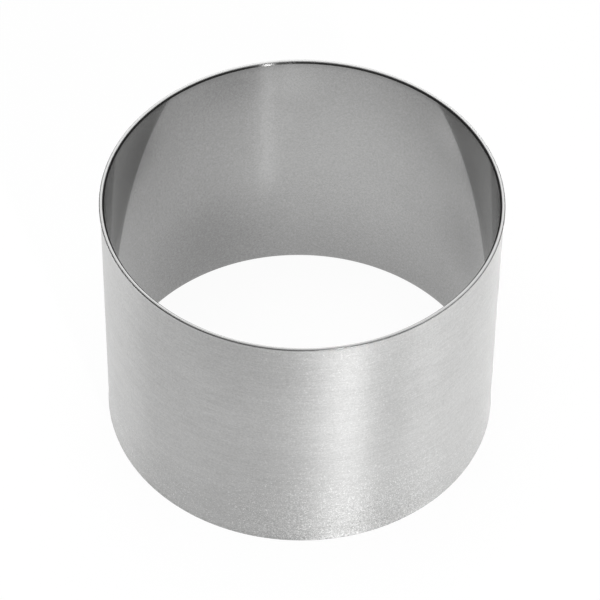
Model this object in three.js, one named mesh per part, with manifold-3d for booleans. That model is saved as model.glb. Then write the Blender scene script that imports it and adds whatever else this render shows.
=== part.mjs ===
// Food ring: a round band of thin steel strip, open at both ends, rolled up and closed by a flush butt weld.
// Units are millimetres. +Z is up, the origin is the centre of the foot, and the weld lies on +X.

import * as THREE from "three";
import { mergeVertices, toCreasedNormals } from "three/addons/utils/BufferGeometryUtils.js";
import Module from "manifold-3d";

const wasm = await Module();
wasm.setup();

// Driving dimensions
const OUTER_DIAMETER = 83;
const HEIGHT = 60;
const WALL = 0.8; // thickness of the strip
const RIM_ROUND = 0.25; // radius that deburring leaves on the four edges of the two rims
const WELD_WIDTH = 1.2; // fused metal between the two ends of the strip

// Facets
const TURN_STEPS = 144; // round the ring
const ARC_DIVISIONS = 1; // Shape.getPoints makes two facets of an arc for each of these
const CREASE_ANGLE = THREE.MathUtils.degToRad(50); // sharper edges than this keep a hard shade

// A rim keeps a flat land between its two rounds, whatever the strip's thickness.
const outerRadius = OUTER_DIAMETER / 2;
const innerRadius = outerRadius - WALL;
const rimRound = Math.min(RIM_ROUND, WALL / 3);

const bandSteel = new THREE.MeshStandardMaterial({ color: 0xb6b6b4, roughness: 0.36, metalness: 1 });
const weldSteel = new THREE.MeshStandardMaterial({ color: 0xaeadaa, roughness: 0.42, metalness: 1 });

// The wall's section, with the radius along x and the height along y.
function wallSection() {
  const right = Math.PI / 2;
  const section = new THREE.Shape();
  section.moveTo(outerRadius, rimRound);
  section.lineTo(outerRadius, HEIGHT - rimRound);
  section.absarc(outerRadius - rimRound, HEIGHT - rimRound, rimRound, 0, right);
  section.lineTo(innerRadius + rimRound, HEIGHT);
  section.absarc(innerRadius + rimRound, HEIGHT - rimRound, rimRound, right, 2 * right);
  section.lineTo(innerRadius, rimRound);
  section.absarc(innerRadius + rimRound, rimRound, rimRound, 2 * right, 3 * right);
  section.lineTo(outerRadius - rimRound, 0);
  section.absarc(outerRadius - rimRound, rimRound, rimRound, 3 * right, 4 * right);
  return section.getPoints(ARC_DIVISIONS);
}

// The closed ring that the strip and its weld make together. LatheGeometry turns about Y, so it is stood up on Z.
function wholeRing() {
  return new THREE.LatheGeometry(wallSection(), TURN_STEPS).rotateX(Math.PI / 2);
}

// The slot that the weld fills, from the ring's axis to well outside the wall, and past both rims.
function seamSlot() {
  return new THREE.BoxGeometry(OUTER_DIAMETER, WELD_WIDTH, 2 * HEIGHT).translate(outerRadius, 0, HEIGHT / 2);
}

// A closed geometry as a solid that can be cut.
function solidFrom(geometry) {
  geometry.deleteAttribute("normal");
  geometry.deleteAttribute("uv");
  const closed = mergeVertices(geometry);
  const vertProperties = closed.getAttribute("position").array;
  const triVerts = new Uint32Array(closed.getIndex().array);
  return new wasm.Manifold(new wasm.Mesh({ numProp: 3, vertProperties, triVerts }));
}

// A solid as a named mesh, smooth round the ring and crisp at the cut ends.
function pieceFrom(solid, name, material) {
  const { vertProperties, triVerts } = solid.getMesh();
  const geometry = new THREE.BufferGeometry();
  geometry.setAttribute("position", new THREE.BufferAttribute(vertProperties, 3));
  geometry.setIndex(new THREE.BufferAttribute(triVerts, 1));
  const piece = new THREE.Mesh(toCreasedNormals(geometry, CREASE_ANGLE), material);
  piece.name = name;
  return piece;
}

const ringSolid = solidFrom(wholeRing());
const slotSolid = solidFrom(seamSlot());

const foodRing = new THREE.Group();
foodRing.name = "food_ring";
foodRing.add(pieceFrom(ringSolid.subtract(slotSolid), "rolled_band", bandSteel));
foodRing.add(pieceFrom(ringSolid.intersect(slotSolid), "seam_weld", weldSteel));

export default foodRing;
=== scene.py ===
"""Food ring: a round band of brushed steel strip, open at both ends, standing in a plain studio.

Lengths are in metres. +Z is up along the ring's axis, the foot stands on Z = 0, the weld lies on +X, and the
photograph looks along +Y from above.
"""

import logging
import math
from dataclasses import dataclass, replace
from enum import Enum
from typing import Any, Mapping, Optional, Union

import bmesh
import bpy
from mathutils import Matrix, Vector


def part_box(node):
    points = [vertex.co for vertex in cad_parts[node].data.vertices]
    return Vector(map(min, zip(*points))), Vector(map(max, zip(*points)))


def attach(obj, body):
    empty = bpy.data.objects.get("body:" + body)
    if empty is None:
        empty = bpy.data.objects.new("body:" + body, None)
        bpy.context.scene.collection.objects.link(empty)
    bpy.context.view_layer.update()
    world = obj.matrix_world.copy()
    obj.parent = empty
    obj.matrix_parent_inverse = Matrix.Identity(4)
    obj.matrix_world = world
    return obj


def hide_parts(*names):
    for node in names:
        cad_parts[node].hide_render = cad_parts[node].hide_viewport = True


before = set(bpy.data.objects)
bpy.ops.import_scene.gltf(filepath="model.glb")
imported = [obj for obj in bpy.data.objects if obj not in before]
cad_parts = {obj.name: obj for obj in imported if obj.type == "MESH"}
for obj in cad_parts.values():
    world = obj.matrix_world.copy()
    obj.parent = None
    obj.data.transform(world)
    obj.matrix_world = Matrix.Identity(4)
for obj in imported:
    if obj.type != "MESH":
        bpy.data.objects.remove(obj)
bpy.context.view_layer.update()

LOG = logging.getLogger("food_ring")
UP = Vector((0.0, 0.0, 1.0))
LEVEL_PLANE = Vector((1.0, 1.0, 0.0))
WHITE = (1.0, 1.0, 1.0, 1.0)
MM = 0.001

# Noise in the steel: its mean, its octaves, and how strongly the finer octaves show
MEAN_NOISE = 0.5
LINE_OCTAVES = 3.0
PATCH_OCTAVES = 2.0
GRIT_OCTAVES = 1.0
STREAK_ROUGHNESS = 0.6
CLOUD_ROUGHNESS = 0.55
UPRIGHT_STRETCH = 0.25  # the turn that lays a highlight's stretch up the wall, across the brushing

# A Mix node's sockets for colours
MIX_SHARE, MIX_FIRST, MIX_SECOND = 0, 6, 7
MIX_RESULT = 2

Number = Union[float, "Signal"]
Colour = tuple[float, float, float]


def direction(azimuth: float, elevation: float) -> Vector:
    """Turn two angles into a direction.

    Args:
        azimuth: degrees to the right of the photograph's camera.
        elevation: degrees above the floor.

    Returns:
        A unit vector from the ring.
    """
    turn, rise = math.radians(azimuth), math.radians(elevation)
    return Vector((math.sin(turn) * math.cos(rise), -math.cos(turn) * math.cos(rise), math.sin(rise)))


def spot(x: float, y: float, z: float) -> Vector:
    """Turn a place in millimetres into metres."""
    return Vector((x * MM, y * MM, z * MM))


class Surface(Enum):
    """The surfaces of the rolled strip, in the order of a piece's material slots."""

    OUTSIDE = 0
    INSIDE = 1
    RIM = 2
    EDGE = 3


class Ray(Enum):
    """The kinds of ray that see the white background, by their output on the Light Path node."""

    CAMERA = "Is Camera Ray"
    GLOSSY = "Is Glossy Ray"
    TRANSMISSION = "Is Transmission Ray"


class Signal:
    """A number that varies over a surface, carried by a socket. Python's operators on it add Math nodes."""

    def __init__(self, graph: "Graph", socket: bpy.types.NodeSocket) -> None:
        """Wrap a socket.

        Args:
            graph: the node tree that the socket belongs to.
            socket: the output socket that carries the number.
        """
        self.graph = graph
        self.socket = socket

    def maths(self, operation: str, first: Number, second: Number) -> "Signal":
        """Add one Math node.

        Args:
            operation: the Math node's operation.
            first: the upper input.
            second: the lower input.

        Returns:
            The node's result.
        """
        node = self.graph.node("ShaderNodeMath", {"operation": operation}, {0: first, 1: second})
        return Signal(self.graph, node.outputs[0])

    def __add__(self, other: Number) -> "Signal":
        """Sum."""
        return self.maths("ADD", self, other)

    def __radd__(self, other: Number) -> "Signal":
        """Sum, with the signal on the right."""
        return self.maths("ADD", other, self)

    def __sub__(self, other: Number) -> "Signal":
        """Difference."""
        return self.maths("SUBTRACT", self, other)

    def __rsub__(self, other: Number) -> "Signal":
        """Difference, with the signal on the right."""
        return self.maths("SUBTRACT", other, self)

    def __mul__(self, other: Number) -> "Signal":
        """Product."""
        return self.maths("MULTIPLY", self, other)

    def __rmul__(self, other: Number) -> "Signal":
        """Product, with the signal on the right."""
        return self.maths("MULTIPLY", other, self)

    def __or__(self, other: Number) -> "Signal":
        """The larger of the two, which joins two masks."""
        return self.maths("MAXIMUM", self, other)


class Graph:
    """A node tree under construction, of a material or of the world."""

    def __init__(self, tree: bpy.types.NodeTree) -> None:
        """Start from an empty tree.

        Args:
            tree: the node tree to fill.
        """
        self.tree = tree
        self.tree.nodes.clear()

    def node(self, kind: str, settings: Optional[Mapping[str, Any]] = None,
             sockets: Optional[Mapping[Union[str, int], Any]] = None) -> bpy.types.Node:
        """Add one node.

        Args:
            kind: the node's type.
            settings: the node's own properties, which are set first.
            sockets: a value, a signal or an output socket for each named or numbered input.

        Returns:
            The new node.
        """
        made = self.tree.nodes.new(kind)
        for key, value in (settings or {}).items():
            setattr(made, key, value)
        for key, value in (sockets or {}).items():
            source = value.socket if isinstance(value, Signal) else value
            if isinstance(source, bpy.types.NodeSocket):
                self.tree.links.new(source, made.inputs[key])
            else:
                made.inputs[key].default_value = source
        return made

    def place(self) -> bpy.types.NodeSocket:
        """The point that is shaded, in the piece's own coordinates."""
        return self.node("ShaderNodeTexCoord").outputs["Object"]

    def noise(self, where: bpy.types.NodeSocket, scale: float, detail: float, roughness: float) -> Signal:
        """Add a noise texture.

        Args:
            where: the point that is looked up.
            scale: how many patches there are in a unit of length.
            detail: the octaves of finer patches inside them.
            roughness: how strongly the finer octaves show.

        Returns:
            A value from 0 to 1.
        """
        node = self.node("ShaderNodeTexNoise", {"noise_dimensions": "3D"},
                         {"Vector": where, "Scale": scale, "Detail": detail, "Roughness": roughness})
        return Signal(self, node.outputs[0])

    def streaks(self, across: float, along: float, detail: float) -> Signal:
        """Grain that runs round the ring, as rolling and brushing leave it.

        Args:
            across: the height of one line of the grain.
            along: the length of one line of the grain.
            detail: the octaves of finer grain inside it.

        Returns:
            A value from 0 to 1.
        """
        stretched = self.node("ShaderNodeMapping", {"vector_type": "POINT"},
                              {"Vector": self.place(), "Scale": (1 / along, 1 / along, 1 / across)})
        return self.noise(stretched.outputs[0], 1.0, detail, STREAK_ROUGHNESS)

    def clouds(self, size: float, detail: float) -> Signal:
        """Patches with no direction.

        Args:
            size: how far one patch reaches.
            detail: the octaves of finer patches inside it.

        Returns:
            A value from 0 to 1.
        """
        return self.noise(self.place(), 1 / size, detail, CLOUD_ROUGHNESS)

    def along(self, way: Vector) -> Signal:
        """How far a point lies along a way from the origin.

        Args:
            way: the way, whose length scales the result.

        Returns:
            The distance.
        """
        dot = self.node("ShaderNodeVectorMath", {"operation": "DOT_PRODUCT"}, {0: self.place(), 1: way})
        return Signal(self, dot.outputs["Value"])

    def apart(self, centre: Vector) -> Signal:
        """How far a point lies from a centre.

        Args:
            centre: the place to measure from.

        Returns:
            The distance.
        """
        gap = self.node("ShaderNodeVectorMath", {"operation": "DISTANCE"}, {0: self.place(), 1: centre})
        return Signal(self, gap.outputs["Value"])

    def ramp(self, value: Signal, low: float, high: float,
             to_low: float = 0.0, to_high: float = 1.0) -> Signal:
        """Ease a value from one range to another, held at the ends.

        Args:
            value: the value to map.
            low: where the range starts.
            high: where the range ends.
            to_low: the result at the start.
            to_high: the result at the end.

        Returns:
            The eased value.
        """
        node = self.node("ShaderNodeMapRange", {"interpolation_type": "SMOOTHSTEP"}, {
            "Value": value, "From Min": low, "From Max": high, "To Min": to_low, "To Max": to_high})
        return Signal(self, node.outputs[0])

    def steel(self, sheen: "Sheen", colour: bpy.types.NodeSocket,
              bump: bpy.types.Node) -> bpy.types.NodeSocket:
        """Shade bare metal.

        Args:
            sheen: how it throws light back.
            colour: its colour.
            bump: the node that tilts its surface.

        Returns:
            The shader's socket.
        """
        node = self.node("ShaderNodeBsdfPrincipled", {}, {
            "Base Color": colour, "Metallic": 1.0, "Roughness": sheen.roughness, "Anisotropic": sheen.stretch,
            "Anisotropic Rotation": UPRIGHT_STRETCH, "Normal": bump.outputs["Normal"]})
        return node.outputs["BSDF"]

    def blend(self, share: Number, first: Colour, second: Colour) -> bpy.types.NodeSocket:
        """Mix two colours.

        Args:
            share: how much of the second colour shows, from 0 to 1.
            first: the colour at 0.
            second: the colour at 1.

        Returns:
            The mixed colour's socket.
        """
        node = self.node("ShaderNodeMix", {"data_type": "RGBA", "clamp_factor": True},
                         {MIX_SHARE: share, MIX_FIRST: (*first, 1.0), MIX_SECOND: (*second, 1.0)})
        return node.outputs[MIX_RESULT]


@dataclass(frozen=True)
class Sheen:
    """How steel throws light back: its roughness, and how far the grain stretches highlights upwards."""

    roughness: float
    stretch: float = 0.0


@dataclass(frozen=True)
class PaintedSpot:
    """A soft painted spot of light or shade: the steel's colour is made lighter or darker where its
    reflection shows lighter or darker.
    """

    centre: Vector
    reach: float
    show: float

    def seen(self, graph: Graph) -> Signal:
        """Shade the spot.

        Args:
            graph: the material's nodes.

        Returns:
            What it adds to the steel's tone.
        """
        return graph.ramp(graph.apart(self.centre), 0.0, self.reach, self.show, 0.0)


@dataclass(frozen=True)
class PaintedTopShade:
    """A painted shade: a strip under the top rim where the steel is painted darker."""

    show: float
    low: float = 58 * MM
    high: float = 60 * MM

    def seen(self, graph: Graph) -> Signal:
        """Shade the strip.

        Args:
            graph: the material's nodes.

        Returns:
            What it adds to the steel's tone.
        """
        return graph.ramp(graph.along(UP), self.low, self.high, 0.0, -self.show)


@dataclass(frozen=True)
class GritAndPaintedGlints:
    """Grit in the grain, thickest at the foot, with painted glints: bright sparks and grit that show most
    towards the lamp's highlight at the front.
    """

    show: float
    size: float = 0.26 * MM
    foot_reach: float = 30 * MM
    # The azimuth in degrees where the lamp's highlight falls, round which the painted glints gather.
    azimuth: float = 14.0
    highlight_start: float = 33 * MM
    highlight_full: float = 41 * MM
    share_above: float = 0.1
    share_off_highlight: float = 0.25
    grit_share: float = 0.6
    glint_start: float = 0.12
    glint_full: float = 0.22

    def seen(self, graph: Graph) -> Signal:
        """Shade the grit and the painted glints.

        Args:
            graph: the material's nodes.

        Returns:
            What they add to the steel's tone.
        """
        near_foot = graph.ramp(graph.along(UP), 0.0, self.foot_reach, 1.0, 0.0)
        # Painted glints: the grit and sparks are strongest towards the lamp's highlight.
        toward_highlight = graph.ramp(graph.along(direction(self.azimuth, 0.0)), self.highlight_start, self.highlight_full)
        grit = graph.clouds(self.size, GRIT_OCTAVES) - MEAN_NOISE
        painted_glints = graph.ramp(grit, self.glint_start, self.glint_full)
        thickness = (self.share_above + near_foot * near_foot) * (self.share_off_highlight + toward_highlight)
        return self.show * thickness * (self.grit_share * grit + painted_glints)


@dataclass(frozen=True)
class SteelFinish:
    """A steel surface: a smooth ground under scratches that run round the ring, with grit, painted glints and
    painted spots of light and shade in its tone.
    """

    name: str
    dark: Colour
    light: Colour
    ground: Sheen
    scratched: Sheen
    scratch_share: float
    share_spread: float = 0.1
    tone: float = 0.5
    line_show: float = 0.15
    line_height: float = 0.4 * MM
    line_length: float = 4 * MM
    band_show: float = 0.15
    band_height: float = 1.6 * MM
    band_length: float = 30 * MM
    patch_show: float = 0.2
    patch_size: float = 22 * MM
    grain_show: float = 0.55
    grain_size: float = 0.42 * MM
    relief: float = 0.0
    marks_and_painted_light: tuple[Union[PaintedSpot, PaintedTopShade, GritAndPaintedGlints], ...] = ()

    def material(self) -> bpy.types.Material:
        """Make the material.

        Returns:
            A metal with fine lines, broader streaks, faint patches and grain in its colour, and with any
            grit, painted glints and painted spots of light and shade that the finish lists.
        """
        made = bpy.data.materials.new(self.name)
        made.use_nodes = True
        graph = Graph(made.node_tree)
        lines = graph.streaks(self.line_height, self.line_length, LINE_OCTAVES) - MEAN_NOISE
        bands = graph.streaks(self.band_height, self.band_length, PATCH_OCTAVES) - MEAN_NOISE
        patches = graph.clouds(self.patch_size, PATCH_OCTAVES) - MEAN_NOISE
        grain = graph.clouds(self.grain_size, PATCH_OCTAVES) - MEAN_NOISE
        tone = (self.tone + self.line_show * lines + self.band_show * bands + self.patch_show * patches
                + self.grain_show * grain)
        # Painted spots of light and shade, a painted shade under the rim, and grit with painted glints are
        # added to the tone here.
        tone = sum((mark.seen(graph) for mark in self.marks_and_painted_light), tone)
        bump = graph.node("ShaderNodeBump", {}, {
            "Strength": 1.0, "Distance": 1.0, "Height": self.relief * self.line_show * lines})
        colour = graph.blend(tone, self.dark, self.light)
        ground, scratched = (graph.steel(sheen, colour, bump) for sheen in (self.ground, self.scratched))
        share = self.scratch_share + self.share_spread * (lines + bands)
        mix = graph.node("ShaderNodeMixShader", {}, {0: share, 1: ground, 2: scratched})
        graph.node("ShaderNodeOutputMaterial", {}, {"Surface": mix.outputs[0]})
        return made


# Painted shade: a darker spot on the outside just under the front rim.
PAINTED_SHADE_UNDER_FRONT_RIM = PaintedSpot(spot(-14, -39, 57), reach=18 * MM, show=-0.1)
# The outside carries grit with painted glints, and the painted shade under the front rim.
BRUSHED_OUTSIDE = SteelFinish(
    "brushed_outside", dark=(0.35, 0.35, 0.348), light=(0.79, 0.79, 0.785),
    ground=Sheen(0.36, 0.85), scratched=Sheen(0.5, 0.85), scratch_share=0.5, share_spread=0.2,
    tone=0.47, line_show=0.4, line_height=0.3 * MM, relief=1.2e-6,
    marks_and_painted_light=(GritAndPaintedGlints(2.4), PAINTED_SHADE_UNDER_FRONT_RIM))

# Painted reflections on the inside: the lighter spots are painted light and the darker ones painted shade, in
# place of the light and shade that the inside reflects.
PAINTED_LIGHT_MIDDLE_OF_BACK = PaintedSpot(spot(10, 39, 36), reach=46 * MM, show=0.4)
PAINTED_SHADE_LOW_ON_LEFT = PaintedSpot(spot(-20, 35, 12), reach=22 * MM, show=-0.22)
PAINTED_SHADE_LOW_ON_RIGHT = PaintedSpot(spot(36, 19, 26), reach=15 * MM, show=-0.25)
PAINTED_SHADE_TOP_LEFT = PaintedSpot(spot(-15, 38, 57), reach=13 * MM, show=-0.25)
PAINTED_LIGHT_TOP_MIDDLE = PaintedSpot(spot(-1, 41, 55), reach=9 * MM, show=0.2)
PAINTED_SHADE_FAR_LEFT = PaintedSpot(spot(-35, 21, 50), reach=11 * MM, show=-0.3)
PAINTED_LIGHT_FAR_RIGHT = PaintedSpot(spot(32, 25, 54), reach=10 * MM, show=0.35)
# The inside is painted darker steel than the outside of the same strip: painted shade for its dimmer
# reflections, with painted spots of light and shade and a painted shade under the top rim.
BRUSHED_INSIDE_PAINTED_SHADE = SteelFinish(
    "brushed_inside_painted_shade", dark=(0.3, 0.3, 0.298), light=(0.57, 0.57, 0.566),
    ground=Sheen(0.06), scratched=Sheen(0.25, 1.0), scratch_share=0.4, share_spread=0.03,
    tone=0.26, line_show=0.05, band_show=0.04, grain_show=0.75,
    marks_and_painted_light=(PaintedTopShade(0.3), PAINTED_LIGHT_MIDDLE_OF_BACK, PAINTED_SHADE_LOW_ON_LEFT, PAINTED_SHADE_LOW_ON_RIGHT, PAINTED_SHADE_TOP_LEFT, PAINTED_LIGHT_TOP_MIDDLE,
           PAINTED_SHADE_FAR_LEFT, PAINTED_LIGHT_FAR_RIGHT))

POLISHED_RIM = SteelFinish(
    "polished_rim", dark=(0.484, 0.484, 0.481), light=(0.616, 0.616, 0.612),
    ground=Sheen(0.16), scratched=Sheen(0.32), scratch_share=0.6)
# The outer rounds are painted darker than the rest of the steel: painted shade that draws the dark reflected
# lines along the rims.
PAINTED_SHADE_EDGE = SteelFinish(
    "painted_shade_edge", dark=(0.2, 0.2, 0.199), light=(0.3, 0.3, 0.298),
    ground=Sheen(0.2), scratched=Sheen(0.4), scratch_share=0.5)

FINISHES = {Surface.OUTSIDE: BRUSHED_OUTSIDE, Surface.INSIDE: BRUSHED_INSIDE_PAINTED_SHADE,
            Surface.RIM: POLISHED_RIM, Surface.EDGE: PAINTED_SHADE_EDGE}


@dataclass(frozen=True)
class WallSide:
    """One side of the wall, flared outwards at both ends and rounded off there."""

    end_round: float
    foot_flare: float
    top_flare: float
    flare_height: float
    round_steps: int = 6

    def draw(self, mesh: bmesh.types.BMesh, radius: float, height: float) -> list[bmesh.types.BMVert]:
        """Draw the side's line in the wall's section, with square ends.

        Args:
            mesh: the mesh that takes the section.
            radius: the side's radius between the flares.
            height: the wall's height.

        Returns:
            The line's corners, from the foot up.
        """
        corners = ((self.foot_flare, 0.0), (0.0, self.flare_height),
                   (0.0, height - self.flare_height), (self.top_flare, height))
        return [mesh.verts.new((radius + flare, 0.0, up)) for flare, up in corners]

    def round_off(self, mesh: bmesh.types.BMesh, line: list[bmesh.types.BMVert]) -> None:
        """Round the line's two ends.

        Args:
            mesh: the mesh that holds the section.
            line: the line's corners, from the foot up.
        """
        bmesh.ops.bevel(mesh, geom=[line[0], line[-1]], offset=self.end_round, offset_type="OFFSET",
                        affect="VERTICES", segments=self.round_steps, profile=0.5, material=-1)


OUTER_SIDE = WallSide(end_round=0.35 * MM, foot_flare=0.18 * MM, top_flare=0.36 * MM, flare_height=0.9 * MM)
INNER_SIDE = WallSide(end_round=0.12 * MM, foot_flare=0.18 * MM, top_flare=0.36 * MM, flare_height=0.4 * MM)


@dataclass
class WallStretch:
    """A stretch of the ring's wall, swept round the axis between two angles."""

    name: str
    node: str
    slot: str
    outer_radius: float
    height: float
    start_angle: float
    end_angle: float
    steps: int
    dullness: float = 0.0
    wall: float = 0.8 * MM
    outer: WallSide = OUTER_SIDE
    inner: WallSide = INNER_SIDE
    guard_loop: float = 0.2 * MM
    level_loops: int = 6
    merge_distance: float = 0.001 * MM
    crease_angle: float = math.radians(40)
    edge_least_lean: float = math.radians(8)
    edge_most_lean: float = math.radians(82)
    rim_least_lean: float = math.radians(45)

    def section(self, mesh: bmesh.types.BMesh) -> list[bmesh.types.BMFace]:
        """Draw the wall's section on the plane of the start angle.

        Args:
            mesh: the mesh that takes the section.

        Returns:
            The section's face.
        """
        outer_line = self.outer.draw(mesh, self.outer_radius, self.height)
        inner_line = self.inner.draw(mesh, self.outer_radius - self.wall, self.height)
        mesh.faces.new(outer_line + inner_line[::-1])
        self.outer.round_off(mesh, outer_line)
        self.inner.round_off(mesh, inner_line)
        bmesh.ops.rotate(mesh, verts=mesh.verts[:], matrix=Matrix.Rotation(self.start_angle, 3, "Z"))
        return mesh.faces[:]

    def levels(self) -> list[float]:
        """Heights of the loops that keep the flares out of the wall's shading, and of those between."""
        guard = self.outer.flare_height + self.guard_loop
        span = self.height - 2 * guard
        return [guard + span * step / self.level_loops for step in range(self.level_loops + 1)]

    def surface_of(self, face: bmesh.types.BMFace) -> Surface:
        """Tell which surface a face belongs to.

        Args:
            face: a face of the finished wall.

        Returns:
            The edge for a face of an outer round, the rim for another that looks up or down, and otherwise
            the side that it looks to.
        """
        centre = face.calc_center_median()
        outward = centre.xy.dot(face.normal.xy) > 0
        lean = abs(face.normal.z)
        near_end = min(centre.z, self.height - centre.z) < self.outer.end_round
        if outward and near_end and math.sin(self.edge_least_lean) < lean < math.sin(self.edge_most_lean):
            return Surface.EDGE
        if lean > math.sin(self.rim_least_lean):
            return Surface.RIM
        return Surface.OUTSIDE if outward else Surface.INSIDE

    def build(self) -> bpy.types.Object:
        """Sweep the section and make the piece.

        Returns:
            The piece's object, at the origin.
        """
        mesh = bmesh.new()
        section = self.section(mesh)
        geometry = mesh.verts[:] + mesh.edges[:] + section
        bmesh.ops.spin(mesh, geom=geometry, cent=(0.0, 0.0, 0.0), axis=UP, dvec=(0.0, 0.0, 0.0),
                       angle=self.end_angle - self.start_angle, steps=self.steps, use_merge=False)
        for level in self.levels():
            bmesh.ops.bisect_plane(mesh, geom=mesh.verts[:] + mesh.edges[:] + mesh.faces[:],
                                   plane_co=(0.0, 0.0, level), plane_no=UP)
        bmesh.ops.remove_doubles(mesh, verts=mesh.verts[:], dist=self.merge_distance)
        bmesh.ops.recalc_face_normals(mesh, faces=mesh.faces[:])
        for edge in mesh.edges:
            edge.smooth = edge.calc_face_angle(0.0) < self.crease_angle
        for face in mesh.faces:
            face.smooth = True
            face.material_index = self.surface_of(face).value
        data = bpy.data.meshes.new(self.name)
        mesh.to_mesh(data)
        mesh.free()
        piece = bpy.data.objects.new(self.name, data)
        bpy.context.scene.collection.objects.link(piece)
        return piece

    def dress(self, piece: bpy.types.Object) -> None:
        """Give the piece its finishes and its place in the frame.

        Args:
            piece: the built piece.
        """
        for surface in Surface:
            finish = FINISHES[surface]
            own = replace(finish, name=f"{self.name}_{finish.name}", tone=finish.tone - self.dullness)
            piece.data.materials.append(own.material())
        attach(piece, "root")
        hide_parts(self.node)
        LOG.info("%s: %d faces", piece.name, len(piece.data.polygons))


@dataclass
class FoodRing:
    """The whole ring: the rolled strip and the weld that closes it."""

    outer_radius: float
    height: float
    weld_width: float
    band_steps: int = 360
    weld_steps: int = 4
    weld_dullness: float = 0.1

    @classmethod
    def from_frame(cls) -> "FoodRing":
        """Read the ring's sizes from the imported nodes."""
        low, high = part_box("rolled_band")
        weld_low, weld_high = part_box("seam_weld")
        return cls((high.y - low.y) / 2, high.z - low.z, weld_high.y - weld_low.y)

    def stretches(self) -> list[WallStretch]:
        """Divide the wall into the strip and the weld between its two ends."""
        half_weld = math.asin(self.weld_width / 2 / self.outer_radius)
        band = WallStretch("brushed_band", "rolled_band", "band_steel", self.outer_radius, self.height,
                           half_weld, 2 * math.pi - half_weld, self.band_steps)
        weld = WallStretch("flush_weld", "seam_weld", "weld_steel", self.outer_radius, self.height,
                           -half_weld, half_weld, self.weld_steps, self.weld_dullness)
        return [band, weld]

    def make(self) -> None:
        """Build and dress both pieces."""
        for stretch in self.stretches():
            stretch.dress(stretch.build())


@dataclass(frozen=True)
class PhotoCamera:
    """The camera's place and lens, fitted to the ring's edges."""

    aim: Vector
    distance: float = 741.9 * MM
    elevation: float = math.radians(47.34)
    pitch: float = math.radians(47.369)
    yaw: float = math.radians(0.023)
    roll: float = math.radians(0.713)
    lens_mm: float = 210.32
    sensor_mm: float = 36.0

    def make(self) -> None:
        """Make the camera and look through it."""
        data = bpy.data.cameras.new("photo_camera")
        data.lens = self.lens_mm
        data.sensor_width = self.sensor_mm
        camera = bpy.data.objects.new("photo_camera", data)
        eye = self.aim + self.distance * Vector((0.0, -math.cos(self.elevation), math.sin(self.elevation)))
        turn = (Matrix.Rotation(self.yaw, 4, "Z") @ Matrix.Rotation(math.pi / 2 - self.pitch, 4, "X")
                @ Matrix.Rotation(self.roll, 4, "Z"))
        camera.matrix_world = Matrix.Translation(eye) @ turn
        bpy.context.scene.collection.objects.link(camera)
        bpy.context.scene.camera = camera
        LOG.info("camera: %.0f mm lens at %.3f m", self.lens_mm, self.distance)


@dataclass(frozen=True)
class Softbox:
    """A rectangular lamp that looks at the ring. Its angles are in degrees, as direction takes them."""

    name: str
    azimuth: float
    width: float
    brightness: float
    elevation: float = 0.0
    height: float = 60 * MM
    distance: float = 1.2
    shows_in_steel: bool = True

    def make(self, aim: Vector) -> None:
        """Hang the lamp.

        Args:
            aim: the point that it looks at.
        """
        data = bpy.data.lights.new(self.name, "AREA")
        data.shape = "RECTANGLE"
        data.size = self.width
        data.size_y = self.height
        data.energy = self.brightness * math.pi * self.width * self.height
        lamp = bpy.data.objects.new(self.name, data)
        lamp.visible_glossy = self.shows_in_steel
        towards = direction(self.azimuth, self.elevation)
        turn = towards.to_track_quat("Z", "Y").to_matrix().to_4x4()
        lamp.matrix_world = Matrix.Translation(aim + self.distance * towards) @ turn
        bpy.context.scene.collection.objects.link(lamp)


@dataclass(frozen=True)
class RoomGlow:
    """A bright stretch of the room with soft edges, as the ring sees it. Its angles are in degrees."""

    azimuth: float
    half_width: float
    low: float
    high: float
    brightness: float
    side_fade: float = 20.0
    level_fade: float = 12.0

    def edge(self, graph: Graph, rise: Signal, level: float) -> Signal:
        """Ease from 0 below a level to 1 above it.

        Args:
            graph: the world's nodes.
            rise: the sine of the elevation that is looked at.
            level: the elevation halfway.

        Returns:
            The eased step.
        """
        low, high = (math.sin(math.radians(level + side * self.level_fade / 2)) for side in (-1, 1))
        return graph.ramp(rise, low, high)

    def seen(self, graph: Graph, looking: bpy.types.NodeSocket) -> Signal:
        """Shade the stretch.

        Args:
            graph: the world's nodes.
            looking: the direction that is looked in.

        Returns:
            The brightness in that direction.
        """
        flat = graph.node("ShaderNodeVectorMath", {"operation": "MULTIPLY"}, {0: looking, 1: LEVEL_PLANE})
        level = graph.node("ShaderNodeVectorMath", {"operation": "NORMALIZE"}, {0: flat.outputs[0]})
        facing = graph.node("ShaderNodeVectorMath", {"operation": "DOT_PRODUCT"},
                            {0: level.outputs[0], 1: direction(self.azimuth, 0.0)})
        across = graph.ramp(Signal(graph, facing.outputs["Value"]),
                            math.cos(math.radians(self.half_width + self.side_fade)),
                            math.cos(math.radians(self.half_width)), 0.0, self.brightness)
        rise = Signal(graph, graph.node("ShaderNodeSeparateXYZ", {}, {0: looking}).outputs["Z"])
        return across * self.edge(graph, rise, self.low) * (1 - self.edge(graph, rise, self.high))


@dataclass(frozen=True)
class Skylight:
    """A dim stretch of the ceiling round the zenith. Its angles are in degrees above the floor."""

    low: float
    high: float
    brightness: float

    def seen(self, graph: Graph, looking: bpy.types.NodeSocket) -> Signal:
        """Shade the stretch.

        Args:
            graph: the world's nodes.
            looking: the direction that is looked in.

        Returns:
            The brightness in that direction.
        """
        rise = Signal(graph, graph.node("ShaderNodeSeparateXYZ", {}, {0: looking}).outputs["Z"])
        low, high = (math.sin(math.radians(level)) for level in (self.low, self.high))
        return graph.ramp(rise, low, high, 0.0, self.brightness)


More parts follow.
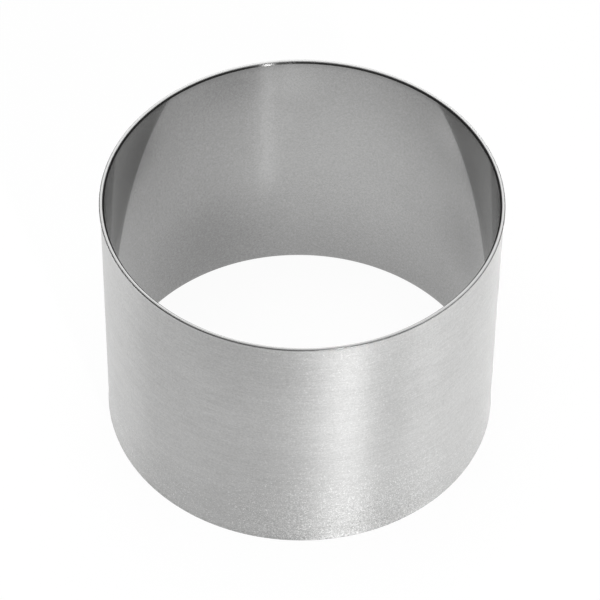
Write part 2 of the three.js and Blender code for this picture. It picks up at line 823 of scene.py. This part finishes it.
BACK_WALL = RoomGlow(azimuth=180.0, half_width=10.0, low=-20.0, high=50.0, brightness=1.75, level_fade=14.0)
BACK_CEILING = RoomGlow(azimuth=140.0, half_width=15.0, low=52.0, high=64.0, brightness=1.5)
ZENITH = Skylight(low=58.0, high=72.0, brightness=0.6)
ROOM = (BACK_WALL, BACK_CEILING, ZENITH)

LAMPS = (
    Softbox("key_lamp", azimuth=19.2, elevation=25.0, width=0.04, height=0.12, brightness=355.0),
    Softbox("second_lamp", azimuth=7.5, elevation=16.0, width=0.04, height=0.12, brightness=48.0),
    Softbox("low_lamp", azimuth=26.5, width=0.06, brightness=98.0),
    Softbox("back_right_card", azimuth=140.0, width=1.2, brightness=18.5),
    Softbox("right_card", azimuth=88.0, width=1.7, brightness=19.5),
    Softbox("right_front_card", azimuth=45.0, width=1.1, brightness=10.0),
    Softbox("left_back_card", azimuth=-122.0, width=1.9, brightness=15.0),
    Softbox("overhead", azimuth=-60.0, elevation=82.0, width=1.0, height=1.0, brightness=3.7,
            shows_in_steel=False))


@dataclass(frozen=True)
class Studio:
    """White paper in a room that is dim in front, lit by the lamps, the low cards and the room's glows."""

    aim: Vector
    floor_side: float = 12.0
    floor_drop: float = 0.02 * MM
    floor_colour: Colour = (0.9, 0.9, 0.9)
    glow_to_camera: float = 0.94
    glow_in_steel: float = 0.65
    ambient: float = 0.05

    def floor(self) -> None:
        """Lay the floor, white to the camera and in the steel, with the ring's shadow on it."""
        mesh = bmesh.new()
        bmesh.ops.create_grid(mesh, x_segments=1, y_segments=1, size=self.floor_side / 2,
                              matrix=Matrix.Translation((0.0, 0.0, -self.floor_drop)))
        data = bpy.data.meshes.new("floor")
        mesh.to_mesh(data)
        mesh.free()
        floor = bpy.data.objects.new("floor", data)
        bpy.context.scene.collection.objects.link(floor)
        data.materials.append(self.floor_material())

    def floor_material(self) -> bpy.types.Material:
        """Paper that glows white to the rays that see the background."""
        made = bpy.data.materials.new("white_paper")
        made.use_nodes = True
        graph = Graph(made.node_tree)
        path = graph.node("ShaderNodeLightPath")
        camera, glossy, through = (Signal(graph, path.outputs[ray.value]) for ray in Ray)
        share = self.glow_to_camera * camera | self.glow_in_steel * (glossy | through)
        paper = graph.node("ShaderNodeBsdfDiffuse", {}, {"Color": (*self.floor_colour, 1.0)})
        glow = graph.node("ShaderNodeEmission", {}, {"Color": WHITE, "Strength": 1.0})
        mix = graph.node("ShaderNodeMixShader", {}, {0: share, 1: paper.outputs[0], 2: glow.outputs[0]})
        graph.node("ShaderNodeOutputMaterial", {}, {"Surface": mix.outputs[0]})
        return made

    def room(self) -> None:
        """Light the room by its glows, with plain white behind the floor's far edge."""
        world = bpy.data.worlds.new("studio_room")
        world.use_nodes = True
        graph = Graph(world.node_tree)
        looking = graph.node("ShaderNodeTexCoord").outputs["Generated"]
        camera = Signal(graph, graph.node("ShaderNodeLightPath").outputs[Ray.CAMERA.value])
        light = sum((glow.seen(graph, looking) for glow in ROOM), self.ambient)
        shade = graph.node("ShaderNodeBackground", {}, {
            "Color": WHITE, "Strength": light * (1 - camera) + camera})
        graph.node("ShaderNodeOutputWorld", {}, {"Surface": shade.outputs[0]})
        bpy.context.scene.world = world

    def make(self) -> None:
        """Make the floor, the room and the lamps."""
        self.floor()
        self.room()
        for lamp in LAMPS:
            lamp.make(self.aim)
        bpy.context.scene.view_settings.view_transform = "Standard"
        LOG.info("studio: floor of %.0f m", self.floor_side)


def main() -> None:
    """Build the ring, its camera and its studio, in that order."""
    logging.basicConfig(level=logging.INFO, format="%(name)s: %(message)s")
    ring = FoodRing.from_frame()
    middle = Vector((0.0, 0.0, ring.height / 2))
    PhotoCamera(middle).make()
    ring.make()
    Studio(middle).make()


if __name__ == "__main__":
    main()
